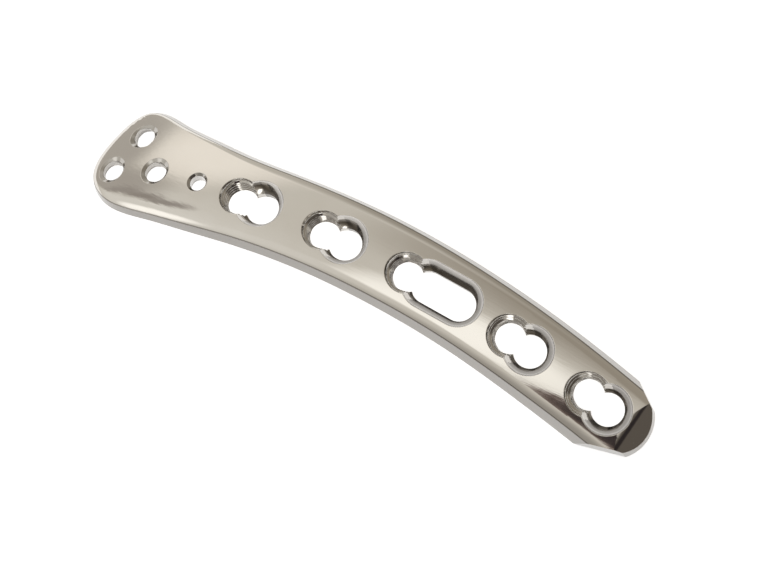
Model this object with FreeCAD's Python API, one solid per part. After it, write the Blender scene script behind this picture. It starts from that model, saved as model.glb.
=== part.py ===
import FreeCAD, Part
import math
import os

# One-piece contoured bone plate with three small head holes, a wire hole and a row of
# combination holes, each a threaded cone joined to a rounded compression seat.
# Millimetres. The plate lies on its bone side: X along the plate towards its thin tip,
# Y across it towards the flared side of the head, Z up, with the origin on the floor
# under the middle of its box.
# Places on the plate are given as s, the length along its top centre line from the tip,
# and b, the distance across it, positive towards the flared side.

V = FreeCAD.Vector

# Course of the top centre line
PLATE_LENGTH = 89.5
PLAN_RADIUS = 185.0
TIP_PITCH = 11.5
BOW_RADIUS = 374.0
HEAD_BEND_START = 38.0
HEAD_BEND_RADIUS = 51.0
TIP_ROLL = 7.6
TWIST_PER_MM = -0.2515

# Section
TIP_THICKNESS = 3.5
NECK_THICKNESS = 3.0
HEAD_THICKNESS = 2.0
TAPER_START = 10.0
NECK_STATION = 62.0
CROWN_CHANGE_START = 57.0
CROWN_CHANGE_LENGTH = 27.5
SHAFT_CROWN_RADIUS = 20.0
HEAD_CROWN_RADIUS = 34.0
UNDERSIDE_RADIUS = 28.0
WALL_LEAN = 16.0
SHOULDER_FACET = 0.65
FOOT_EASE = 0.35
WALL_LOW = -15.0
WALL_HIGH = 1.6
WALL_MARKS = 30
WALL_SPLITS = (0, 5, 10, 14, 17, 20, 25, 30)

# Edge at mid thickness, as s and b of the points that one smooth curve runs through
FRONT_SHAFT = ((-5, -5.85), (6, -5.95), (18, -5.85), (30, -5.52), (42, -5.42), (56, -5.55))
FRONT_NECK = ((68, -6.0), (76, -6.15))
HEAD_FRONT = ((82.3, -5.75), (86.6, -4.95), (89.1, -2.9), (90.0, 0.2))
HEAD_BACK = ((89.6, 3.9), (88.7, 7.3), (87.2, 9.7), (84.8, 10.4))
BACK_NECK = ((80.5, 9.3), (75, 7.9), (69.5, 6.85))
BACK_SHAFT = ((63, 6.35), (50, 6.3), (30, 5.95), (16, 5.55), (-5, 5.45))

# Tip: where the back taper starts, its end, the nose, the front corner, the front taper's start
TIP_OUTLINE = ((6.9, 6.2), (1.7, 3.85), (0.1, 0.9), (0.75, -3.25), (8.6, -6.9))
BEVEL_START = 2.65
BEVEL_SLOPE = 35.0
BEVEL_TURN = 6.0

# Screw holes
HOLE_PITCH = 13.0
FIRST_HOLE = 9.57
SLOT_HOLE = 3
SLOT_LENGTHENING = 4.8
SLOT_STEP = 3.3
HOLE_COUNT = 5
LOBE_SPACING = 3.2
THREAD_FOOT_RADIUS = 2.05
THREAD_TOP_RADIUS = 2.25
THREAD_HEIGHT = 2.1
LEAD_IN_SLOPE = 34.0
SEAT_FOOT_RADIUS = 2.27
SEAT_FOOT_HEIGHT = 0.8
SEAT_SPHERE_RADIUS = 3.5

# Head holes: s and b of each centre, and the lean of its axis towards the tip and the flare
HEAD_HOLES = ((78.6, 0.1, 9.0, 5.0), (83.6, 5.2, 8.0, -3.0), (85.75, -0.85, 7.0, 5.0))
HEAD_THREAD_RADIUS = 1.48
HEAD_RIM_RADIUS = 2.18
HEAD_RIM_DEPTH = 0.45
WIRE_HOLE = (71.5, 0.05, 8.0, 4.0)
WIRE_RADIUS = 1.1
WIRE_RIM_RADIUS = 1.5
WIRE_RIM_DEPTH = 0.4

# Working shapes: how far the slab, the cuts and the drills run past the plate
SLAB_START = -7.0
SLAB_STEP = 7.5
SLAB_SECTIONS = 15
SLAB_REACH = 14.0
STUB_START = 46.0
CUT_REACH = 80.0
CUT_HALF_WIDTH = 30.0
PAST = 2.0
DRILL_DEPTH = 6.0

# Turn that brings the plate down on the three feet it rests on
REST_ROLL = 13.6
REST_PITCH = -1.11


def pitch_at(s):
    # Slope of the centre line: an even bow, then a bend that tightens towards the head end
    past = max(0.0, s - HEAD_BEND_START)
    gain = 1.0 / HEAD_BEND_RADIUS - 1.0 / BOW_RADIUS
    turned = s / BOW_RADIUS + gain * past * past / (2.0 * (PLATE_LENGTH - HEAD_BEND_START))
    return math.radians(TIP_PITCH) - turned


def direction_at(s):
    heading = (s - PLATE_LENGTH / 2.0) / PLAN_RADIUS
    pitch = pitch_at(s)
    level = math.cos(pitch)
    return V(-math.cos(heading) * level, -math.sin(heading) * level, math.sin(pitch))


def point_at(s):
    # Simpson's rule along the centre line, from the middle of the plate
    start = PLATE_LENGTH / 2.0
    steps = 2 * max(2, int(abs(s - start) / 2.0) + 1)
    step = (s - start) / steps
    total = V(0, 0, 0)
    for i in range(steps + 1):
        weight = 1 if i in (0, steps) else (4 if i % 2 else 2)
        total = total + direction_at(start + i * step) * weight
    return total * (step / 3.0)


def frame_at(s):
    # Point, forward (towards the head), across (towards the flare) and outward normal
    forward = direction_at(s)
    up = V(0, 0, 1) - forward * forward.z
    up.normalize()
    level = forward.cross(up)
    roll = math.radians(TIP_ROLL + TWIST_PER_MM * s)
    normal = up * math.cos(roll) - level * math.sin(roll)
    across = forward.cross(normal)
    return point_at(s), forward, across, normal


def thickness_at(s):
    if s <= TAPER_START:
        return TIP_THICKNESS
    if s <= NECK_STATION:
        part = (s - TAPER_START) / (NECK_STATION - TAPER_START)
        return TIP_THICKNESS + part * (NECK_THICKNESS - TIP_THICKNESS)
    part = (s - NECK_STATION) / (PLATE_LENGTH - NECK_STATION)
    return NECK_THICKNESS + part * (HEAD_THICKNESS - NECK_THICKNESS)


def crown_radius_at(s):
    part = min(1.0, max(0.0, (s - CROWN_CHANGE_START) / CROWN_CHANGE_LENGTH))
    return SHAFT_CROWN_RADIUS + part * (HEAD_CROWN_RADIUS - SHAFT_CROWN_RADIUS)


def on_plate(s, b, depth):
    # A point at a depth below the crowned top face
    point, forward, across, normal = frame_at(s)
    drop = b * b / (2.0 * crown_radius_at(s))
    return point + across * b - normal * (drop + depth)


def slab():
    # Top and bone faces, wider and longer than the plate
    reach = SLAB_REACH
    sections = []
    for i in range(SLAB_SECTIONS):
        s = SLAB_START + i * SLAB_STEP
        point, forward, across, normal = frame_at(s)
        thick = thickness_at(s)
        edge = reach * reach / (2.0 * crown_radius_at(s))
        under = reach * reach / (2.0 * UNDERSIDE_RADIUS)
        top = [point + across * x - normal * (edge if x else 0) for x in (-reach, 0, reach)]
        low = [point + across * x - normal * (thick + (under if x else 0)) for x in (reach, 0, -reach)]
        edges = [
            Part.Arc(top[0], top[1], top[2]).toShape(),
            Part.LineSegment(top[2], low[0]).toShape(),
            Part.Arc(low[0], low[1], low[2]).toShape(),
            Part.LineSegment(low[2], top[0]).toShape(),
        ]
        sections.append(Part.Wire(edges))
    return Part.makeLoft(sections, True, False)


def wall_solid():
    # Leaning side walls drawn through the outline, from below the plate to above it
    lean = math.tan(math.radians(WALL_LEAN))
    outline = FRONT_SHAFT + FRONT_NECK + HEAD_FRONT + HEAD_BACK + BACK_NECK + BACK_SHAFT
    course = Part.BSplineCurve()
    course.interpolate(Points=[on_plate(s, b, thickness_at(s) / 2.0) for s, b in outline])
    first, last = course.FirstParameter, course.LastParameter
    marks = [first + (last - first) * i / WALL_MARKS for i in range(WALL_MARKS + 1)]
    rings = []
    for level in (WALL_LOW, WALL_HIGH):
        points = []
        for u in marks:
            spot = course.value(u)
            along = course.tangent(u)[0]
            out = V(-along.y, along.x, 0)
            out.normalize()
            points.append(spot + (V(0, 0, 1) - out * lean) * (level - spot.z))
        curve = Part.BSplineCurve()
        curve.interpolate(Points=points, Parameters=marks)
        cuts = [marks[i] for i in WALL_SPLITS]
        edges = [curve.toShape(a, b) for a, b in zip(cuts, cuts[1:])]
        edges.append(Part.LineSegment(points[-1], points[0]).toShape())
        rings.append(Part.Wire(edges))
    return Part.makeLoft(rings, True, True)


def revolved(profile, centre, axis):
    # A tool turned about an axis from (radius, height) pairs, height along the axis
    points = [V(0, 0, profile[0][1])] + [V(r, 0, z) for r, z in profile] + [V(0, 0, profile[-1][1])]
    wire = Part.makePolygon(points + [points[0]])
    solid = Part.Face(wire).revolve(V(0, 0, 0), V(0, 0, 1), 360)
    solid.Placement = FreeCAD.Placement(centre, FreeCAD.Rotation(V(0, 0, 1), axis))
    return solid


def thread_tool(s):
    # The threaded cone and its lead-in, heights taken from the bone face
    point, forward, across, normal = frame_at(s)
    foot = point - normal * thickness_at(s)
    lead = math.tan(math.radians(LEAD_IN_SLOPE))
    top = thickness_at(s) + PAST
    profile = [
        (THREAD_FOOT_RADIUS, -PAST),
        (THREAD_FOOT_RADIUS, 0.0),
        (THREAD_TOP_RADIUS, THREAD_HEIGHT),
        (THREAD_TOP_RADIUS + (top - THREAD_HEIGHT) * lead, top),
    ]
    return revolved(profile, foot, normal)


def seat_wire():
    # Half section of the compression seat: straight foot, sphere, straight top
    offset = math.sqrt(SEAT_SPHERE_RADIUS ** 2 - SEAT_FOOT_RADIUS ** 2)
    middle = SEAT_FOOT_HEIGHT + offset
    turn = math.asin(offset / SEAT_SPHERE_RADIUS) / 2.0
    reach = SEAT_SPHERE_RADIUS * math.cos(turn)
    halfway = V(reach, 0, middle - SEAT_SPHERE_RADIUS * math.sin(turn))
    top = middle + PAST
    lower = [V(0, 0, -PAST), V(SEAT_FOOT_RADIUS, 0, -PAST), V(SEAT_FOOT_RADIUS, 0, SEAT_FOOT_HEIGHT)]
    upper = [V(SEAT_SPHERE_RADIUS, 0, middle), V(SEAT_SPHERE_RADIUS, 0, top), V(0, 0, top)]
    edges = [Part.LineSegment(a, b).toShape() for a, b in zip(lower, lower[1:])]
    edges.append(Part.Arc(lower[-1], halfway, upper[0]).toShape())
    edges += [Part.LineSegment(a, b).toShape() for a, b in zip(upper, upper[1:])]
    edges.append(Part.LineSegment(upper[-1], lower[0]).toShape())
    return Part.Wire(edges)


def seat_tool(s, length):
    # One rounded seat, or a slot of the same section when a length is given
    point, forward, across, normal = frame_at(s)
    foot = point - normal * thickness_at(s) - forward * LOBE_SPACING
    place = FreeCAD.Placement(foot, FreeCAD.Rotation(across * -1.0, forward * -1.0, normal, "ZXY"))
    face = Part.Face(seat_wire())
    seat = face.revolve(V(0, 0, 0), V(0, 0, 1), 360)
    if length:
        far_seat = seat.copy()
        far_seat.translate(V(0, length, 0))
        other = face.mirror(V(0, 0, 0), V(1, 0, 0))
        halves = [side.extrude(V(0, length, 0)) for side in (face, other)]
        seat = seat.fuse([far_seat] + halves).removeSplitter()
    seat.Placement = place
    return seat


def hole_stations():
    stations = []
    for i in range(HOLE_COUNT):
        s = FIRST_HOLE + i * HOLE_PITCH
        if i + 1 >= SLOT_HOLE:
            s += SLOT_STEP
        stations.append(s)
    return stations


def round_hole_tool(place, radius, rim_radius, rim_depth):
    # A flared rim square to the top face, and a straight hole that leans from the vertical
    s, b, tipward, flareward = place
    point, forward, across, normal = frame_at(s)
    square = normal + across * (b / crown_radius_at(s))
    square.normalize()
    flare = (rim_radius - radius) / rim_depth
    rim = revolved([(radius, -rim_depth), (rim_radius + flare * PAST, PAST)], on_plate(s, b, 0.0), square)
    axis = V(math.tan(math.radians(tipward)), math.tan(math.radians(flareward)), 1.0)
    throat = on_plate(s, b, 0.0) - square * rim_depth
    return rim.fuse(revolved([(radius, -DRILL_DEPTH), (radius, PAST)], throat, axis))


def rim_of(face):
    # The face's edges ahead of the square stub that the tip cut takes away
    return [edge for edge in face.Edges if edge.CenterOfMass.x < STUB_START]


def broad_face(shape, top):
    # The crowned top face or the bone face, the two largest
    pair = sorted(shape.Faces, key=lambda face: face.Area)[-2:]
    pair.sort(key=lambda face: face.CenterOfMass.z)
    return pair[-1] if top else pair[0]


def tip_profile():
    # What is kept at the tip, seen from above
    spots = [on_plate(s, b, TIP_THICKNESS / 2.0) for s, b in TIP_OUTLINE]
    back, shoulder, nose, corner, front = [V(p.x, p.y, WALL_LOW) for p in spots]
    back_out = V(back.x, CUT_HALF_WIDTH, WALL_LOW)
    front_out = V(front.x, -CUT_HALF_WIDTH, WALL_LOW)
    behind = [V(-CUT_REACH, side, WALL_LOW) for side in (-CUT_HALF_WIDTH, CUT_HALF_WIDTH)]
    edges = [
        Part.LineSegment(behind[1], back_out).toShape(),
        Part.LineSegment(back_out, back).toShape(),
        Part.LineSegment(back, shoulder).toShape(),
        Part.Arc(shoulder, nose, corner).toShape(),
        Part.LineSegment(corner, front).toShape(),
        Part.LineSegment(front, front_out).toShape(),
        Part.LineSegment(front_out, behind[0]).toShape(),
        Part.LineSegment(behind[0], behind[1]).toShape(),
    ]
    return Part.Face(Part.Wire(edges)).extrude(V(0, 0, 2.0 * (WALL_HIGH - WALL_LOW)))


def tip_bevel():
    # A block whose underside is the bevel that thins the nose
    point, forward, across, normal = frame_at(BEVEL_START)
    turned = FreeCAD.Rotation(normal, BEVEL_TURN)
    outward = turned.multVec(forward * -1.0)
    side = turned.multVec(across)
    slope = math.radians(BEVEL_SLOPE)
    down = outward * math.cos(slope) - normal * math.sin(slope)
    block = Part.makeBox(CUT_REACH, CUT_REACH, CUT_HALF_WIDTH, V(0, -CUT_REACH / 2.0, 0))
    lift = side.cross(down) * -1.0
    block.Placement = FreeCAD.Placement(point, FreeCAD.Rotation(down, side, lift, "ZXY"))
    return block


def shaped_body():
    body = slab().common(wall_solid()).Solids[0]
    body = body.makeChamfer(SHOULDER_FACET, rim_of(broad_face(body, True)))
    body = body.makeChamfer(FOOT_EASE, rim_of(broad_face(body, False)))
    return body.common(tip_profile()).cut(tip_bevel())


def drilled(body):
    for i, s in enumerate(hole_stations()):
        length = SLOT_LENGTHENING if i + 1 == SLOT_HOLE else 0.0
        body = body.cut(thread_tool(s).fuse(seat_tool(s, length)))
    for place in HEAD_HOLES:
        body = body.cut(round_hole_tool(place, HEAD_THREAD_RADIUS, HEAD_RIM_RADIUS, HEAD_RIM_DEPTH))
    return body.cut(round_hole_tool(WIRE_HOLE, WIRE_RADIUS, WIRE_RIM_RADIUS, WIRE_RIM_DEPTH))


def laid_down(plate):
    # Turned onto its feet, then moved so that the box's bottom centre is the origin
    plate = plate.copy()
    plate.rotate(V(0, 0, 0), V(1, 0, 0), REST_ROLL)
    plate.rotate(V(0, 0, 0), V(0, 1, 0), REST_PITCH)
    box = plate.optimalBoundingBox(False)
    plate.translate(V(-box.Center.x, -box.Center.y, -box.ZMin))
    return plate


def main():
    os.makedirs("parts", exist_ok=True)
    plate = drilled(shaped_body()).Solids[0]
    laid_down(plate).exportStep("parts/bone_plate.step")


main()
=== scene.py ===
import bpy
import math
import numpy as np
from collections import namedtuple
from mathutils import Matrix, Vector, kdtree


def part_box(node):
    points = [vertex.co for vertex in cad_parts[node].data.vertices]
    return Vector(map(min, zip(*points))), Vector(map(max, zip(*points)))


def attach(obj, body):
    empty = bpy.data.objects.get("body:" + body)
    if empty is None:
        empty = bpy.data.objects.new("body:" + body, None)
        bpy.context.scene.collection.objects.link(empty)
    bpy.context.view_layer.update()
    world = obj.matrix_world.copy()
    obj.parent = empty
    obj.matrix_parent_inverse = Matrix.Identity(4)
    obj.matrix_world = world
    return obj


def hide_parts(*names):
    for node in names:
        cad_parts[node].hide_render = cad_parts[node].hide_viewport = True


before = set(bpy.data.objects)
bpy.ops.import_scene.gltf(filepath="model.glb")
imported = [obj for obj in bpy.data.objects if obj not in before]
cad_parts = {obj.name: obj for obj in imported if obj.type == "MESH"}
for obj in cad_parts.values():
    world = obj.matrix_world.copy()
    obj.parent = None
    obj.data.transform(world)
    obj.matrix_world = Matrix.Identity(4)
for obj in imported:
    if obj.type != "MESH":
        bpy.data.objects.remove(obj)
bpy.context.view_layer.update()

# Sizes in millimetres, the same as in the part's source. A place on the plate is s, the length
# along its top centre line from the tip, and b, the distance across it towards the flare.
PLATE_LENGTH = 89.5
PLAN_RADIUS = 185.0
TIP_PITCH = 11.5
BOW_RADIUS = 374.0
HEAD_BEND_START = 38.0
HEAD_BEND_RADIUS = 51.0
TIP_ROLL = 7.6
TWIST_PER_MM = -0.2515
TIP_THICKNESS = 3.5
NECK_THICKNESS = 3.0
HEAD_THICKNESS = 2.0
TAPER_START = 10.0
NECK_STATION = 62.0
CROWN_CHANGE_START = 57.0
CROWN_CHANGE_LENGTH = 27.5
SHAFT_CROWN_RADIUS = 20.0
HEAD_CROWN_RADIUS = 34.0
UNDERSIDE_RADIUS = 28.0
SECTION_REACH = 14.0
WALL_LEAN = 16.0
SHOULDER_START = 62.0
SHOULDER_RUN = 16.0
SHOULDER_LINE = 3.5
SHOULDER_RADIUS = 20.0
FOOT_EASE = 0.35
# The plate's edge at mid thickness, from the tip up the front side, round the head and back
OUTLINE = (
    (-5, -5.85), (6, -5.95), (18, -5.85), (30, -5.52), (42, -5.42), (56, -5.55), (68, -6.0),
    (76, -6.15), (82.3, -5.75), (86.6, -4.95), (89.1, -2.9), (90.0, 0.2), (89.6, 3.9), (88.7, 7.3),
    (87.2, 9.7), (84.8, 10.4), (80.5, 9.3), (75, 7.9), (69.5, 6.85), (63, 6.35), (50, 6.3), (30, 5.95),
    (16, 5.55), (-5, 5.45),
)
TIP_OUTLINE = ((6.9, 6.2), (1.7, 3.85), (0.1, 0.9), (0.75, -3.25), (8.6, -6.9))
BEVEL_START = 2.65
BEVEL_SLOPE = 35.0
BEVEL_TURN = 6.0
HOLE_STATIONS = (9.57, 22.57, 38.87, 51.87, 64.87)
SLOT_HOLE = 2
SLOT_LENGTHENING = 4.8
LOBE_SPACING = 3.2
THREAD_FOOT_RADIUS = 2.05
THREAD_TOP_RADIUS = 2.25
THREAD_HEIGHT = 2.1
LEAD_IN_SLOPE = 34.0
SEAT_FOOT_RADIUS = 2.27
SEAT_FOOT_HEIGHT = 0.8
SEAT_SPHERE_RADIUS = 3.5
# Each with the degrees that its bore leans towards the tip and towards the flare
HEAD_HOLES = ((78.6, 0.1, 9.0, 5.0), (83.6, 5.2, 8.0, -3.0), (85.75, -0.85, 7.0, 5.0))
HEAD_THREAD_RADIUS = 1.48
HEAD_RIM_RADIUS = 2.18
HEAD_RIM_DEPTH = 0.45
WIRE_HOLE = (71.5, 0.05, 8.0, 4.0)
WIRE_RADIUS = 1.1
WIRE_RIM_RADIUS = 1.5
WIRE_RIM_DEPTH = 0.4
REST_ROLL = 13.6
REST_PITCH = -1.11
REST_PLACE = (-0.144018, 0.143611, 10.985660)

# Forms that only this script has: the rolled shoulder as width and drop for each stretch of the
# edge, the soft crease of the bevel and the fine threads
SHAFT_ROLL = (1.4, 0.30)
BACK_ROLL = (1.2, 0.42)
HEAD_ROLL = (1.4, 0.34)
END_ROLL = (0.7, 0.28)
END_ROLL_START = 84.0
END_ROLL_RUN = 4.0
CROWN_AT_WALLS = 21.0
CROWN_AT_EDGE = 22.0
BEVEL_SOFTENING = 4.5
THREAD_PITCH = 0.5
THREAD_DEPTH = 0.25
THREAD_MOUTH = 0.35
THREAD_RUN_OUT = 0.25
HEAD_THREAD_PITCH = 0.45
HEAD_THREAD_DEPTH = 0.12
HEAD_THREAD_ENDS = (-4.0, 0.2)

# Fineness of the shown mesh
ROW_STEP = 0.5
COLUMN_STEP = 0.25
OUTLINE_STEPS = 420
ROUND_STEPS = 120
ROLL_STEPS = 9
NOSE_STEPS = 48
SEAT_STEPS = 16
CREASE_STEPS = 14
THREAD_STEP = 0.0625
HEAD_THREAD_STEP = 0.08
SAME_PLACE = 0.0001
SMOOTHED_UNDER = 13

# How far the slab and the cutting tools reach past the plate
SLAB_START = -3.0
SLAB_LENGTH = 97.0
SLAB_FRONT = -10.0
SLAB_WIDTH = 23.0
WALL_LOW = -15.0
WALL_HIGH = 1.6
WALL_MARKS = 30
WALL_PAST = 1.3
ROLL_PAST_WALL = 1.5
ROLL_LID = (1.0, 1.2)
FOOT_PAST_WALL = 6.0
FOOT_PAST_FACE = 3.0
FOOT_ROOF = 5.0
CUT_LOW = -17.0
CUT_HIGH = 12.0
CUT_WIDE = 30.0
CUT_FAR = -80.0
TOOL_PAST = 2.0
THREAD_BELOW = 0.3
THREAD_ABOVE = 0.1
HEAD_BORE_LOW = -6.0
HEAD_TURNS_LOW = -4.5
BEVEL_LEAD = (0.6, 3.0)
BEVEL_LENGTH = 20.0
BEVEL_HEIGHTS = (40.0, 30.0)
BEVEL_HALF_WIDTH = 20.0

# The search for the place where a wall meets a face: marks along the plate and slides up the wall
SEARCH_START = -6.0
SEARCH_STEP = 0.25
SEARCH_COUNT = 400
SLIDE_START = -8.0
SLIDES = 9

# How dull each worked face is and how much painted shade it carries, from 0 for the polished top to 1,
# and how far round a hole it goes
# Threads, seats and bores are darker partly as duller machined steel and partly as painted shade in the
# holes
THREAD_TONE = 0.3
SEAT_TONE = 0.12
# Seats grow darker further down the hole: painted shade in the hollow
SEAT_PAINTED_SHADE_WITH_DEPTH = 0.5
BORE_TONE = 0.5
# The walls are painted darker: painted shade
WALL_PAINTED_SHADE = 0.84
# A painted dark line along the crisp edge where the shoulder meets the walls
EDGE_PAINTED_DARK_LINE = 0.8
MOST_DULL_AND_SHADED = 0.95
# How wide that painted dark line is
PAINTED_LINE_WIDTH = 0.17
THREAD_REACH = 3.35
SEAT_REACH = 3.75
RIM_REACH = 0.2
SLOT_MARKS = 5
NEAR_HOLE = 5.0
TOP_UPRIGHT = 0.93
SHOULDER_UPRIGHT = 0.45

# Colours, roughness and grain of the materials
STEEL_COLOURS = ((0.72, 0.69, 0.645, 1), (0.76, 0.735, 0.70, 1))
# The dark colour that the mask mixes in: duller machined steel and painted shade
DULL_AND_SHADED_COLOUR = (0.27, 0.255, 0.24, 1)
CLOUD_SPAN = (0.3, 0.7)
POLISHED_ROUGHNESS = (0.035, 0.06)
HAIR_ROUGHNESS = 0.02
MACHINED_ROUGHNESS = 0.08
CLOUD_SCALE = 260.0
HAIR_SCALE = (60.0, 2600.0, 2600.0)
HAIR_RELIEF = 0.05
HAIR_HEIGHT = 0.0001
EDGE_SOFTNESS = 0.00012
PAPER_COLOUR = (0.88, 0.90, 0.94, 1)
PAPER_ROUGHNESS = 0.9
PAPER_GLOW = (0.7, 0.7, 0.7, 1)
PAPER_IN_METAL = 0.85
BLACK = (0, 0, 0, 1)

# The camera and the floor, in metres and degrees
METRES_PER_MM = 0.001
CAMERA_LENS = 155.54
CAMERA_PLACE = (0.1236068, -0.1462704, 0.4122038)
CAMERA_TURN = (24.5552, 4.147, 30.8432)
FLOOR_WIDTH = 4.0
FLOOR_DROP = 0.00005

# The room as the plate sees it: a base tone and soft cards, each over the ones before it. A card
# has the way it stands, x and y being degrees away from straight up, its reach along x and y in
# degrees, how much of it is even, and its tone. None reaches past the room's side.
ROOM_TONE = (0.69, 0.66, 0.60)
ROOM_SIDE = 0.2
CARDS = (
    ((-45, -34), (44, 42), 0.20, (0.82, 0.80, 0.75)),
    ((-46, 32), (22, 25), 0.05, (1.04, 0.99, 0.91)),
    ((-80, 22), (19, 26), 0.30, (0.50, 0.47, 0.43)),
    ((-68, 8), (26, 9), 0.05, (0.47, 0.44, 0.40)),
    ((18, 76), (50, 48), 0.30, (0.36, 0.33, 0.28)),
    ((24, 20), (44, 38), 0.30, (0.37, 0.335, 0.28)),
    ((-8, -88), (60, 43), 0.05, (0.34, 0.32, 0.29)),
    ((-45, -42), (17, 11.5), 0.05, (1.32, 1.30, 1.25)),
    ((-62, 3), (9, 3.4), 0.05, (0.38, 0.35, 0.32)),
    ((-54, -0.5), (9, 3.8), 0.05, (0.34, 0.31, 0.28)),
    ((-46, -4), (10, 4), 0.05, (0.36, 0.33, 0.30)),
    ((-3, -24), (9.5, 19), 0.02, (1.24, 1.22, 1.16)),
    ((9.9, -38), (9.3, 11.5), 0.85, (0.17, 0.12, 0.105)),
    ((10, -38), (8.7, 10.9), 0.75, (0.04, 0.03, 0.03)),
    ((28, -40), (27, 10), 0.50, (0.05, 0.04, 0.04)),
    ((64, -18), (46, 38), 0.40, (0.12, 0.105, 0.09)),
    ((29, -64), (10, 18), 0.30, (2.3, 2.28, 2.22)),
    ((49, -30), (10, 9), 0.10, (0.03, 0.025, 0.025)),
)
UP = Vector((0, 0, 1))
Place = namedtuple("Place", "point forward across normal")
Edge = namedtuple("Edge", "out rise upper upper_normal lower lower_normal roll")


def share_of(value):
    # Held between none and all
    return min(1.0, max(0.0, value))


def pitch_at(s):
    past = max(0.0, s - HEAD_BEND_START)
    gain = 1.0 / HEAD_BEND_RADIUS - 1.0 / BOW_RADIUS
    turned = s / BOW_RADIUS + gain * past * past / (2.0 * (PLATE_LENGTH - HEAD_BEND_START))
    return math.radians(TIP_PITCH) - turned


def direction_at(s):
    heading = (s - PLATE_LENGTH / 2.0) / PLAN_RADIUS
    pitch = pitch_at(s)
    level = math.cos(pitch)
    return Vector((-math.cos(heading) * level, -math.sin(heading) * level, math.sin(pitch)))


def point_at(s):
    # A place on the top centre line, summed up from the plate's middle
    start = PLATE_LENGTH / 2.0
    steps = 2 * max(2, int(abs(s - start) / 2.0) + 1)
    step = (s - start) / steps
    total = Vector((0, 0, 0))
    for i in range(steps + 1):
        weight = 1 if i in (0, steps) else (4 if i % 2 else 2)
        total += direction_at(start + i * step) * weight
    return total * (step / 3.0)


def frame_at(s):
    forward = direction_at(s)
    up = (UP - forward * forward.z).normalized()
    level = forward.cross(up)
    roll = math.radians(TIP_ROLL + TWIST_PER_MM * s)
    normal = up * math.cos(roll) - level * math.sin(roll)
    return Place(point_at(s), forward, forward.cross(normal), normal)


def thickness_at(s):
    if s <= TAPER_START:
        return TIP_THICKNESS
    if s <= NECK_STATION:
        part = (s - TAPER_START) / (NECK_STATION - TAPER_START)
        return TIP_THICKNESS + part * (NECK_THICKNESS - TIP_THICKNESS)
    part = (s - NECK_STATION) / (PLATE_LENGTH - NECK_STATION)
    return NECK_THICKNESS + part * (HEAD_THICKNESS - NECK_THICKNESS)


def crown_radius_at(s):
    part = share_of((s - CROWN_CHANGE_START) / CROWN_CHANGE_LENGTH)
    return SHAFT_CROWN_RADIUS + part * (HEAD_CROWN_RADIUS - SHAFT_CROWN_RADIUS)


def on_plate(s, b, depth):
    place = frame_at(s)
    drop = b * b / (2.0 * crown_radius_at(s))
    return place.point + place.across * b - place.normal * (drop + depth)


def arc_drop(b, radius):
    # How far an arc through the section's reach falls away at b
    edge = SECTION_REACH ** 2 / (2.0 * radius)
    true_radius = (SECTION_REACH ** 2 + edge ** 2) / (2.0 * edge)
    return true_radius - math.sqrt(true_radius ** 2 - b * b)


def shoulder_share(s):
    # How far the section has changed from the shaft's to the head's
    return share_of((s - SHOULDER_START) / SHOULDER_RUN)


def shoulder_drop(s, b):
    # The front side of the head rolls off into a broad round shoulder
    share = shoulder_share(s)
    past = max(0.0, -SHOULDER_LINE - b)
    return share * share * (3.0 - 2.0 * share) * past * past / (2.0 * SHOULDER_RADIUS)


def top_point(s, b, place):
    drop = arc_drop(b, crown_radius_at(s)) + shoulder_drop(s, b)
    return place.point + place.across * b - place.normal * drop


def low_point(s, b, place):
    drop = thickness_at(s) + arc_drop(b, UNDERSIDE_RADIUS)
    return place.point + place.across * b - place.normal * drop


def new_object(name, corners, faces):
    mesh = bpy.data.meshes.new(name)
    mesh.from_pydata([tuple(c) for c in corners], [], faces)
    thing = bpy.data.objects.new(name, mesh)
    bpy.context.scene.collection.objects.link(thing)
    return thing


def alone(thing):
    bpy.ops.object.select_all(action="DESELECT")
    thing.select_set(True)
    bpy.context.view_layer.objects.active = thing


def face_outwards(thing, merge=False):
    alone(thing)
    bpy.ops.object.mode_set(mode="EDIT")
    bpy.ops.mesh.select_all(action="SELECT")
    if merge:
        bpy.ops.mesh.remove_doubles(threshold=SAME_PLACE)
    bpy.ops.mesh.normals_make_consistent(inside=False)
    bpy.ops.object.mode_set(mode="OBJECT")
    return thing


def ring_faces(count, rings):
    # The faces between rings that have so many corners each
    faces = []
    for low in range(0, (rings - 1) * count, count):
        for i in range(count):
            j = (i + 1) % count
            faces.append((low + i, low + j, low + count + j, low + count + i))
    return faces


def end_faces(count, rings):
    # The faces that fill the first and the last ring
    return [tuple(range(count)), tuple(range((rings - 1) * count, rings * count))]


def block_between(name, near, far):
    # A closed solid between two rings of corners
    faces = end_faces(len(near), 2) + ring_faces(len(near), 2)
    return face_outwards(new_object(name, near + far, faces))


def combine(first, second, operation):
    # One solid from two
    modifier = first.modifiers.new("cut", "BOOLEAN")
    modifier.operation = operation
    modifier.solver = "MANIFOLD"
    modifier.object = second
    alone(first)
    bpy.ops.object.modifier_apply(modifier=modifier.name)
    bpy.data.objects.remove(second)
    return first


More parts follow.
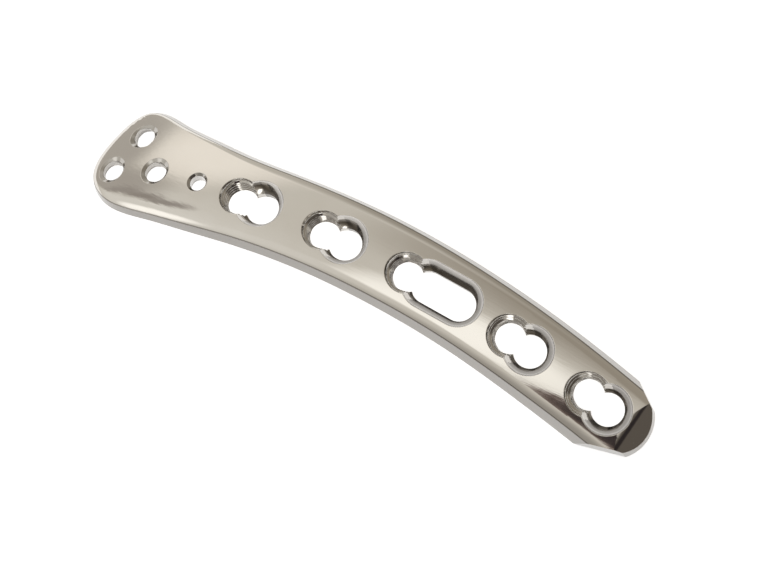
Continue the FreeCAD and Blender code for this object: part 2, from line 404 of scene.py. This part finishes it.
def slab():
    # The crowned top face and the hollow bone face in one closed sheet, past the plate all round
    rows = [SLAB_START + i * ROW_STEP for i in range(int(SLAB_LENGTH / ROW_STEP) + 1)]
    columns = [SLAB_FRONT + j * COLUMN_STEP for j in range(int(SLAB_WIDTH / COLUMN_STEP) + 1)]
    places = [frame_at(s) for s in rows]
    corners = [top_point(s, b, place) for s, place in zip(rows, places) for b in columns]
    corners += [low_point(s, b, place) for s, place in zip(rows, places) for b in columns]
    wide, long = len(columns), len(rows)
    under = wide * long
    faces = []
    for i in range(long - 1):
        for j in range(wide - 1):
            a = i * wide + j
            faces.append((a, a + 1, a + wide + 1, a + wide))
            faces.append((under + a, under + a + wide, under + a + wide + 1, under + a + 1))
    for i in range(long - 1):
        for a in (i * wide, i * wide + wide - 1):
            faces.append((a, a + wide, under + a + wide, under + a))
    for j in range(wide - 1):
        for a in (j, (long - 1) * wide + j):
            faces.append((a, a + 1, under + a + 1, under + a))
    return face_outwards(new_object("plate", corners, faces))


def bends_through(points, marks):
    # Second derivatives of the smooth curve that passes the points at the marks
    h = np.diff(marks)
    n = len(points)
    system = np.zeros((n, n))
    right = np.zeros((n, 3))
    system[0, 0] = system[-1, -1] = 1.0
    for i in range(1, n - 1):
        system[i, i - 1 : i + 2] = h[i - 1], 2.0 * (h[i - 1] + h[i]), h[i]
        right[i] = 6.0 * ((points[i + 1] - points[i]) / h[i] - (points[i] - points[i - 1]) / h[i - 1])
    return np.linalg.solve(system, right)


def course_through(points, marks):
    # A function that gives the place and the direction on that curve at a mark
    points = np.array([tuple(q) for q in points])
    bends = bends_through(points, marks)

    def at(u):
        i = min(len(marks) - 2, max(0, int(np.searchsorted(marks, u)) - 1))
        h = marks[i + 1] - marks[i]
        a, b = (marks[i + 1] - u) / h, (u - marks[i]) / h
        bend = ((a ** 3 - a) * bends[i] + (b ** 3 - b) * bends[i + 1]) * h * h / 6.0
        slope = ((1 - 3 * a * a) * bends[i] + (3 * b * b - 1) * bends[i + 1]) * h / 6.0
        place = a * points[i] + b * points[i + 1] + bend
        return Vector(place), Vector((points[i + 1] - points[i]) / h + slope)

    return at


def wall_lines():
    # For each step round the outline, the wall's line: a point low on it and a point high on it
    spots = [on_plate(s, b, thickness_at(s) / 2.0) for s, b in OUTLINE]
    reach = [0.0]
    for p, q in zip(spots, spots[1:]):
        reach.append(reach[-1] + (q - p).length)
    course = course_through(spots, np.array(reach))
    marks = np.linspace(0.0, reach[-1], WALL_MARKS + 1)
    lean = math.tan(math.radians(WALL_LEAN))
    rings = []
    for level in (WALL_LOW, WALL_HIGH):
        points = []
        for u in marks:
            spot, along = course(u)
            out = Vector((-along.y, along.x, 0)).normalized()
            points.append(spot + (UP - out * lean) * (level - spot.z))
        rings.append(course_through(points, marks))
    steps = np.linspace(0.0, reach[-1], OUTLINE_STEPS)
    return [(rings[0](u)[0], rings[1](u)[0], rings[0](u)[1]) for u in steps]


def banded(name, rings):
    # A closed solid from rings that run up the front side, round the head and back, each end
    # of it closed by strips from the front side to the back side
    count = len(rings[0])
    corners = [c for ring in rings for c in ring]
    faces = ring_faces(count, len(rings))
    for base in (0, (len(rings) - 1) * count):
        for i in range(count // 2 - 1):
            a, b = base + i, base + count - 1 - i
            faces.append((a, a + 1, b - 1, b))
    return face_outwards(new_object(name, corners, faces))


def find_edges():
    # For each step of the outline: the way out, the wall's rise, where it meets the top face and
    # the bone face, and how the shoulder rolls off there
    stations = [SEARCH_START + i * SEARCH_STEP for i in range(SEARCH_COUNT)]
    heads = np.array([tuple(point_at(s)) for s in stations])
    edges = []
    for low, high, along in wall_lines():
        out = Vector((-along.y, along.x, 0)).normalized()
        rise = (high - low) / (high.z - low.z)

        def meets(surface):
            # Slides along the wall's line until it lies on the surface
            level = SLIDE_START
            for _ in range(SLIDES):
                q = low + rise * (level - low.z)
                s = stations[int(np.argmin(np.linalg.norm(heads - np.array(tuple(q)), axis=1)))]
                s += (q - point_at(s)).dot(direction_at(s))
                place = frame_at(s)
                b = (q - place.point).dot(place.across)
                gap = (q - surface(s, b, place)).dot(place.normal)
                level -= gap / rise.dot(place.normal)
            normal = (place.normal + place.across * (b / CROWN_AT_WALLS)).normalized()
            return low + rise * (level - low.z), normal, roll_at(s, b)

        upper, upper_normal, roll = meets(top_point)
        lower, lower_normal, _ = meets(low_point)
        edges.append(Edge(out, rise, upper, upper_normal, lower, lower_normal, roll))
    return edges


def wall_solid(edges):
    high = [edge.upper + edge.rise * WALL_PAST for edge in edges]
    low = [edge.lower - edge.rise * WALL_PAST for edge in edges]
    return banded("walls", [low, high])


def rounded(start, corner, end, steps):
    # Points of a soft turn from start to end that leans on the corner
    shares = [k / steps for k in range(steps + 1)]
    return [start.lerp(corner, share).lerp(corner.lerp(end, share), share) for share in shares]


def roll_at(s, b):
    # Width and drop of the rolled shoulder, from the shaft's to the head's, narrow round its end
    share = shoulder_share(s)
    end = 1.0 if b > 0 else share_of((s - END_ROLL_START) / END_ROLL_RUN)
    sizes = []
    for shaft, head, last in zip(BACK_ROLL if b > 0 else SHAFT_ROLL, HEAD_ROLL, END_ROLL):
        sizes.append(shaft + share * (head + end * (last - head) - shaft))
    return sizes


def inwards_on(out, normal):
    # The way in from the edge, along the face that has this normal
    return (-out + normal * out.dot(normal)).normalized()


def shoulder_solid(edges):
    # Rolls the top face off over the shoulder, down to the crisp upper edge of the walls
    courses = []
    for edge in edges:
        width, drop = edge.roll
        inwards = inwards_on(edge.out, edge.upper_normal)
        on_wall = edge.upper - edge.rise.normalized() * drop
        middle = edge.upper + inwards * (width / 2.0)
        sunk = width ** 2 / (2.0 * CROWN_AT_EDGE)
        end = edge.upper + inwards * width - edge.upper_normal * sunk
        outer = on_wall + (on_wall - middle) * ROLL_PAST_WALL
        course = [Vector((outer.x, outer.y, CUT_LOW)), outer]
        course += rounded(on_wall, middle, end, ROLL_STEPS)
        course.append(end + inwards * ROLL_LID[0] + edge.upper_normal * ROLL_LID[1])
        courses.append(course)
    return banded("shoulder", [list(ring) for ring in zip(*courses)])


def foot_solid(edges):
    # Cuts the eased edge between the walls and the bone face
    outer, inner, roof = [], [], []
    for edge in edges:
        on_wall = edge.lower + edge.rise.normalized() * FOOT_EASE
        on_face = edge.lower + inwards_on(edge.out, edge.lower_normal) * FOOT_EASE
        span = on_face - on_wall
        outer.append(on_wall - span * FOOT_PAST_WALL)
        inner.append(on_face + span * FOOT_PAST_FACE)
        roof.append(Vector((outer[-1].x, outer[-1].y, FOOT_ROOF)))
    return banded("foot", [inner, outer, roof])


def arc_through(a, b, c, steps):
    # Points of the arc from a through b to c, seen from above
    d = 2.0 * (a.x * (b.y - c.y) + b.x * (c.y - a.y) + c.x * (a.y - b.y))
    aa, bb, cc = (q.x ** 2 + q.y ** 2 for q in (a, b, c))
    x = (aa * (b.y - c.y) + bb * (c.y - a.y) + cc * (a.y - b.y)) / d
    y = (aa * (c.x - b.x) + bb * (a.x - c.x) + cc * (b.x - a.x)) / d
    radius = math.hypot(a.x - x, a.y - y)
    start, end = (math.atan2(q.y - y, q.x - x) for q in (a, c))
    turns = [start + (end - start) * i / steps for i in range(steps + 1)]
    return [Vector((x + radius * math.cos(turn), y + radius * math.sin(turn), 0)) for turn in turns]


def tip_solid():
    # The two tapers and the round nose, cut straight down
    back, shoulder, nose, corner, front = [on_plate(s, b, TIP_THICKNESS / 2.0) for s, b in TIP_OUTLINE]
    outline = [Vector((CUT_FAR, CUT_WIDE, 0)), Vector((back.x, CUT_WIDE, 0)), back]
    outline += arc_through(shoulder, nose, corner, NOSE_STEPS)
    outline += [front, Vector((front.x, -CUT_WIDE, 0)), Vector((CUT_FAR, -CUT_WIDE, 0))]
    low, high = ([Vector((p.x, p.y, level)) for p in outline] for level in (CUT_LOW, CUT_HIGH))
    return block_between("tip", low, high)


def turned_profile(name, profile, centre, axis, wave=None):
    # A closed solid turned about an axis from (radius, height) pairs. wave(turn, height) is
    # added to the radius, for threads.
    side = axis.orthogonal().normalized()
    other = axis.cross(side)
    corners = []
    for r, z in profile:
        level = centre + axis * z
        for k in range(ROUND_STEPS):
            turn = k / ROUND_STEPS
            reach = r + (wave(turn, z) if wave else 0.0)
            angle = 2.0 * math.pi * turn
            corners.append(level + side * (reach * math.cos(angle)) + other * (reach * math.sin(angle)))
    rings = len(profile)
    faces = ring_faces(ROUND_STEPS, rings) + end_faces(ROUND_STEPS, rings)
    return face_outwards(new_object(name, corners, faces))


def thread_wave(pitch, depth, low, high):
    # A fine V thread that grows out of the wall at both of its ends
    def wave(turn, z):
        phase = (z / pitch - turn) % 1.0
        ridge = abs(2.0 * phase - 1.0)
        return depth * (1.0 - ridge) * share_of(min(z - low, high - z) / THREAD_RUN_OUT)
    return wave


def steps_between(low, high, step):
    count = max(1, int(round((high - low) / step)))
    return [low + (high - low) * i / count for i in range(count + 1)]


def thread_tool(s):
    # A threaded cone with its lead-in
    place = frame_at(s)
    thick = thickness_at(s)
    slope = math.tan(math.radians(LEAD_IN_SLOPE))
    top = thick + TOOL_PAST
    profile = [(THREAD_FOOT_RADIUS, -TOOL_PAST)]
    for z in steps_between(-THREAD_BELOW, thick + THREAD_ABOVE, THREAD_STEP):
        grown = share_of(z / THREAD_HEIGHT) * (THREAD_TOP_RADIUS - THREAD_FOOT_RADIUS)
        profile.append((THREAD_FOOT_RADIUS + grown + max(0.0, z - THREAD_HEIGHT) * slope, z))
    profile.append((THREAD_TOP_RADIUS + (top - THREAD_HEIGHT) * slope, top))
    wave = thread_wave(THREAD_PITCH, THREAD_DEPTH, -THREAD_RUN_OUT, thick - THREAD_MOUTH)
    return turned_profile("thread", profile, place.point - place.normal * thick, place.normal, wave)


def seat_profile():
    # A straight foot and a sphere on it
    offset = math.sqrt(SEAT_SPHERE_RADIUS ** 2 - SEAT_FOOT_RADIUS ** 2)
    middle = SEAT_FOOT_HEIGHT + offset
    start = math.asin(offset / SEAT_SPHERE_RADIUS)
    profile = [(SEAT_FOOT_RADIUS, -TOOL_PAST)]
    for i in range(SEAT_STEPS + 1):
        turn = start * (1.0 - i / SEAT_STEPS)
        sunk = SEAT_SPHERE_RADIUS * math.sin(turn)
        profile.append((SEAT_SPHERE_RADIUS * math.cos(turn), middle - sunk))
    profile.append((SEAT_SPHERE_RADIUS, middle + TOOL_PAST))
    return profile


def seat_tool(s, length):
    # A round seat, or a slot of the same section
    place = frame_at(s)
    foot = place.point - place.normal * thickness_at(s) - place.forward * LOBE_SPACING
    half = ROUND_STEPS // 2
    profile = seat_profile()
    corners = []
    for r, z in profile:
        for centre, first in ((foot - place.forward * length, 0), (foot, half)):
            level = centre + place.normal * z
            for k in range(half + 1):
                angle = math.pi * (first + k) / half - math.pi / 2.0
                along, aside = r * math.cos(angle), r * math.sin(angle)
                corners.append(level - place.forward * along + place.across * aside)
    count, rings = 2 * (half + 1), len(profile)
    tool = new_object("seat", corners, ring_faces(count, rings) + end_faces(count, rings))
    return face_outwards(tool, merge=True)


def head_hole_tool(hole, radius, rim_radius, rim_depth, threaded):
    # A flared rim square to the top face, and a bore that leans by its own angles
    s, b, tipward, flareward = hole
    place = frame_at(s)
    square = (place.normal + place.across * (b / crown_radius_at(s))).normalized()
    flare = (rim_radius - radius) / rim_depth
    top = on_plate(s, b, 0.0)
    cone = [(radius, -rim_depth), (rim_radius + flare * TOOL_PAST, TOOL_PAST)]
    rim = turned_profile("rim", cone, top, square)
    lean = [math.tan(math.radians(angle)) for angle in (tipward, flareward)]
    levels = [HEAD_BORE_LOW] + steps_between(HEAD_TURNS_LOW, TOOL_PAST, HEAD_THREAD_STEP)
    wave = thread_wave(HEAD_THREAD_PITCH, HEAD_THREAD_DEPTH, *HEAD_THREAD_ENDS) if threaded else None
    profile = [(radius, z) for z in levels]
    axis = Vector((*lean, 1.0)).normalized()
    bore = turned_profile("bore", profile, top - square * rim_depth, axis, wave)
    return combine(rim, bore, "UNION")


def bevel_block():
    # Cuts the tip's sloping face, with a soft turn where it leaves the top
    place = frame_at(BEVEL_START)
    turn = math.radians(BEVEL_TURN)
    outward = -place.forward * math.cos(turn) - place.normal.cross(place.forward) * math.sin(turn)
    side = place.across * math.cos(turn) + place.normal.cross(place.across) * math.sin(turn)
    slope = math.radians(BEVEL_SLOPE)
    down = outward * math.cos(slope) - place.normal * math.sin(slope)
    behind = outward * (BEVEL_SOFTENING * math.tan(slope / 2.0))
    middle = place.point - behind - place.normal * BEVEL_SOFTENING
    lift, back = BEVEL_LEAD
    profile = [middle + place.normal * (BEVEL_SOFTENING + lift) - outward * back]
    for k in range(CREASE_STEPS + 1):
        angle = slope * k / CREASE_STEPS
        way = outward * math.sin(angle) + place.normal * math.cos(angle)
        profile.append(middle + way * BEVEL_SOFTENING)
    profile.append(profile[-1] + down * BEVEL_LENGTH)
    profile.append(profile[-1] + place.normal * BEVEL_HEIGHTS[0])
    profile.append(profile[0] + place.normal * BEVEL_HEIGHTS[1])
    near, far = ([p + side * reach for p in profile] for reach in (-BEVEL_HALF_WIDTH, BEVEL_HALF_WIDTH))
    return block_between("bevel", near, far)


def make_plate(edges):
    body = combine(wall_solid(edges), shoulder_solid(edges), "INTERSECT")
    body = combine(body, foot_solid(edges), "INTERSECT")
    body = combine(body, tip_solid(), "INTERSECT")
    body = combine(body, bevel_block(), "DIFFERENCE")
    for i, s in enumerate(HOLE_STATIONS):
        body = combine(body, thread_tool(s), "DIFFERENCE")
        body = combine(body, seat_tool(s, SLOT_LENGTHENING if i == SLOT_HOLE else 0.0), "DIFFERENCE")
    for hole in HEAD_HOLES:
        tool = head_hole_tool(hole, HEAD_THREAD_RADIUS, HEAD_RIM_RADIUS, HEAD_RIM_DEPTH, True)
        body = combine(body, tool, "DIFFERENCE")
    tool = head_hole_tool(WIRE_HOLE, WIRE_RADIUS, WIRE_RIM_RADIUS, WIRE_RIM_DEPTH, False)
    body = combine(body, tool, "DIFFERENCE")
    return combine(slab(), body, "INTERSECT")


def lay_down(plate):
    # Turned onto its feet as the solid is, set down, scaled to metres and held in the solid's box
    pitch = Matrix.Rotation(math.radians(REST_PITCH), 4, "Y")
    roll = Matrix.Rotation(math.radians(REST_ROLL), 4, "X")
    place = Matrix.Translation(REST_PLACE)
    plate.data.transform(Matrix.Scale(METRES_PER_MM, 4) @ place @ (pitch @ roll))
    low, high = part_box("bone_plate")
    for corner in plate.data.vertices:
        corner.co = [min(max(c, a), b) for c, a, b in zip(corner.co, low, high)]


def place_camera():
    data = bpy.data.cameras.new("camera")
    data.lens = CAMERA_LENS
    data.sensor_width = 36.0
    data.clip_start = 0.01
    data.clip_end = 10.0
    camera = bpy.data.objects.new("camera", data)
    camera.location = CAMERA_PLACE
    camera.rotation_euler = [math.radians(angle) for angle in CAMERA_TURN]
    bpy.context.scene.collection.objects.link(camera)
    bpy.context.scene.camera = camera


class Wire:
    # A shader socket that sums and products can be written with
    def __init__(self, shader, socket):
        self.shader = shader
        self.socket = socket

    def math(self, operation, first, second):
        values = {"Value": first, "Value_001": second}
        return self.shader.node("ShaderNodeMath", {"operation": operation}, values)["Value"]

    def __add__(self, other):
        return self.math("ADD", self, other)

    def __radd__(self, other):
        return self.math("ADD", other, self)

    def __mul__(self, other):
        return self.math("MULTIPLY", self, other)

    def __rmul__(self, other):
        return self.math("MULTIPLY", other, self)


class Shader:
    def __init__(self, tree):
        self.tree = tree

    def node(self, kind, settings=None, values=None):
        # A new node with its settings, and values or wires in its sockets; gives its outputs
        node = self.tree.nodes.new(kind)
        for name, value in (settings or {}).items():
            setattr(node, name, value)
        sockets = {socket.identifier: socket for socket in node.inputs}
        for name, value in (values or {}).items():
            self.feed(sockets[name], value)
        return {socket.identifier: Wire(self, socket) for socket in node.outputs}

    def feed(self, socket, value):
        if isinstance(value, Wire):
            self.tree.links.new(value.socket, socket)
        else:
            socket.default_value = value

    def blend(self, factor, first, second):
        # Two colours mixed
        values = {"Factor_Float": factor, "A_Color": first, "B_Color": second}
        return self.node("ShaderNodeMix", {"data_type": "RGBA"}, values)["Result_Color"]

    def between(self, value, low, high, start=0.0, end=1.0):
        # Goes softly from start to end while the value goes from low to high
        settings = {"interpolation_type": "SMOOTHSTEP"}
        values = {"Value": value, "From Min": low, "From Max": high, "To Min": start, "To Max": end}
        return self.node("ShaderNodeMapRange", settings, values)["Result"]

    def along(self, way, axis):
        # How far the way goes along the axis
        values = {"Vector": way, "Vector_001": tuple(axis)}
        return self.node("ShaderNodeVectorMath", {"operation": "DOT_PRODUCT"}, values)["Value"]


def crisp_edge(edges):
    # Points along the line where the rolled shoulder meets the walls
    line = [edge.upper - edge.rise.normalized() * edge.roll[1] for edge in edges]
    tree = kdtree.KDTree(2 * len(line))
    for i, point in enumerate(line):
        tree.insert(point, 2 * i)
        tree.insert((point + line[i - 1]) / 2.0, 2 * i + 1)
    tree.balance()
    return tree


def worked_spots():
    # Where the tools have been: a spot's middle, the way up there, its radius and its tone, which is
    # duller machined steel and painted shade
    marks = []
    for i, s in enumerate(HOLE_STATIONS):
        reach = LOBE_SPACING + (SLOT_LENGTHENING if i == SLOT_HOLE else 0.0)
        marks.append((s, 0.0, THREAD_REACH, THREAD_TONE))
        for k in range(SLOT_MARKS):
            seat = s - reach + (reach - LOBE_SPACING) * k / (SLOT_MARKS - 1)
            marks.append((seat, 0.0, SEAT_REACH, SEAT_TONE))
    for s, b, *_ in HEAD_HOLES:
        marks.append((s, b, HEAD_RIM_RADIUS + RIM_REACH, BORE_TONE))
    marks.append((*WIRE_HOLE[:2], WIRE_RIM_RADIUS + RIM_REACH, BORE_TONE))
    spots = []
    for s, b, radius, tone in marks:
        place = frame_at(s)
        spots.append((place.point + place.across * b, place.normal, radius, tone))
    return spots


def mark_dullness_and_painted_shade(plate, edges):
    # Notes on each face how dull it is and how much painted shade it carries: walls (painted shade),
    # then their crisp edge (a painted dark line), then threads, seats (painted shade deeper down) and
    # bores
    spots = worked_spots()
    line = crisp_edge(edges)
    values = []
    for face in plate.data.polygons:
        centre, normal = face.center, face.normal
        # Walls get painted shade
        value = WALL_PAINTED_SHADE if abs(normal.z) < SHOULDER_UPRIGHT else 0.0
        # A thin painted dark line along the walls' crisp upper edge
        if normal.z > SHOULDER_UPRIGHT and line.find(centre)[2] < PAINTED_LINE_WIDTH:
            value = EDGE_PAINTED_DARK_LINE
        for middle, up, radius, tone in spots:
            gap = centre - middle
            height = gap.dot(up)
            beside = (gap - up * height).length
            # Threads, seats and bores take their tone: duller machined steel and painted shade
            if abs(gap.x) < NEAR_HOLE and beside < radius and abs(normal.dot(up)) < TOP_UPRIGHT:
                # Seats darken with depth below the top: painted shade in the hollow
                value = min(MOST_DULL_AND_SHADED, tone - SEAT_PAINTED_SHADE_WITH_DEPTH * height) if tone == SEAT_TONE else tone
                break
        values += [value] * face.loop_total
    layer = plate.data.attributes.new("dull_and_painted_shade", "FLOAT", "CORNER")
    layer.data.foreach_set("value", values)


def polished_steel():
    # Bright polished metal with faint clouds and hair lines, dull where it is machined; the same mask
    # darkens the base colour with painted shade
    material = bpy.data.materials.new("polished_steel")
    material.use_nodes = True
    shader = Shader(material.node_tree)
    surface = material.node_tree.nodes["Principled BSDF"].inputs
    place = shader.node("ShaderNodeTexCoord")["Object"]
    clouds = {"Vector": place, "Scale": CLOUD_SCALE, "Detail": 3.0}
    cloud = shader.node("ShaderNodeTexNoise", {}, clouds)["Fac"]
    drawn = shader.node("ShaderNodeMapping", {}, {"Vector": place, "Scale": HAIR_SCALE})["Vector"]
    hairs = {"Vector": drawn, "Scale": 1.0, "Detail": 2.0}
    hair = shader.node("ShaderNodeTexNoise", {}, hairs)["Fac"]
    dull_and_painted_shade = shader.node("ShaderNodeAttribute", {"attribute_name": "dull_and_painted_shade"})["Fac"]
    outside = shader.blend(cloud, *STEEL_COLOURS)
    polish = shader.between(cloud, *CLOUD_SPAN, *POLISHED_ROUGHNESS)
    soft = shader.node("ShaderNodeBevel", {"samples": 6}, {"Radius": EDGE_SOFTNESS})["Normal"]
    relief = {"Strength": HAIR_RELIEF, "Distance": HAIR_HEIGHT, "Height": hair, "Normal": soft}
    surface["Metallic"].default_value = 1.0
    # The mask darkens the base colour: a duller machined finish and painted shade
    shader.feed(surface["Base Color"], shader.blend(dull_and_painted_shade, outside, DULL_AND_SHADED_COLOUR))
    shader.feed(surface["Roughness"], polish + hair * HAIR_ROUGHNESS + dull_and_painted_shade * MACHINED_ROUGHNESS)
    shader.feed(surface["Normal"], shader.node("ShaderNodeBump", {}, relief)["Normal"])
    return material


def floor_paper():
    # White paper that shows white to the eye and in the metal, and keeps the plate's shadow
    material = bpy.data.materials.new("floor_paper")
    material.use_nodes = True
    shader = Shader(material.node_tree)
    surface = material.node_tree.nodes["Principled BSDF"].inputs
    surface["Base Color"].default_value = PAPER_COLOUR
    surface["Roughness"].default_value = PAPER_ROUGHNESS
    path = shader.node("ShaderNodeLightPath")
    in_metal = path["Is Glossy Ray"] + path["Is Transmission Ray"]
    seen = path["Is Camera Ray"] + in_metal * PAPER_IN_METAL
    shader.feed(surface["Emission Color"], shader.blend(seen, BLACK, PAPER_GLOW))
    surface["Emission Strength"].default_value = 1.0
    return material


def towards(x, y):
    # The way that leans x and y degrees from straight up
    tilt, turn = math.radians(math.hypot(x, y)), math.atan2(y, x)
    return Vector((math.sin(tilt) * math.cos(turn), math.sin(tilt) * math.sin(turn), math.cos(tilt)))


def room():
    # A card is an even oval with a soft rim, and nothing of it shows on the room's other side
    world = bpy.data.worlds.new("room")
    world.use_nodes = True
    shader = Shader(world.node_tree)
    way = shader.node("ShaderNodeTexCoord")["Generated"]
    tone = (*ROOM_TONE, 1)
    for (x, y), reach, even, colour in CARDS:
        middle = towards(x, y)
        first = (towards(x + 1, y) - middle).normalized()
        spread = 0.0
        for axis, extent in zip((first, middle.cross(first)), reach):
            shift = shader.along(way, axis / math.sin(math.radians(extent)))
            spread = shift * shift + spread
        spread = spread + shader.between(shader.along(way, middle), ROOM_SIDE, 0.0)
        tone = shader.blend(shader.between(spread, 1.0, even), tone, (*colour, 1))
    back = world.node_tree.nodes["Background"].inputs
    shader.feed(back["Color"], tone)
    back["Strength"].default_value = 1.0
    bpy.context.scene.world = world


def studio():
    bpy.ops.object.select_all(action="DESELECT")
    bpy.ops.mesh.primitive_plane_add(size=FLOOR_WIDTH, location=(0, 0, -FLOOR_DROP))
    floor = bpy.context.object
    floor.name = "floor"
    floor.data.materials.append(floor_paper())
    room()


bpy.context.scene.view_settings.view_transform = "Standard"
place_camera()
edges = find_edges()
plate = make_plate(edges)
mark_dullness_and_painted_shade(plate, edges)
lay_down(plate)
plate.name = "plate"
alone(plate)
bpy.ops.object.shade_smooth_by_angle(angle=math.radians(SMOOTHED_UNDER))
plate.data.materials.clear()
plate.data.materials.append(polished_steel())
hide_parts("bone_plate")
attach(plate, "root")
studio()
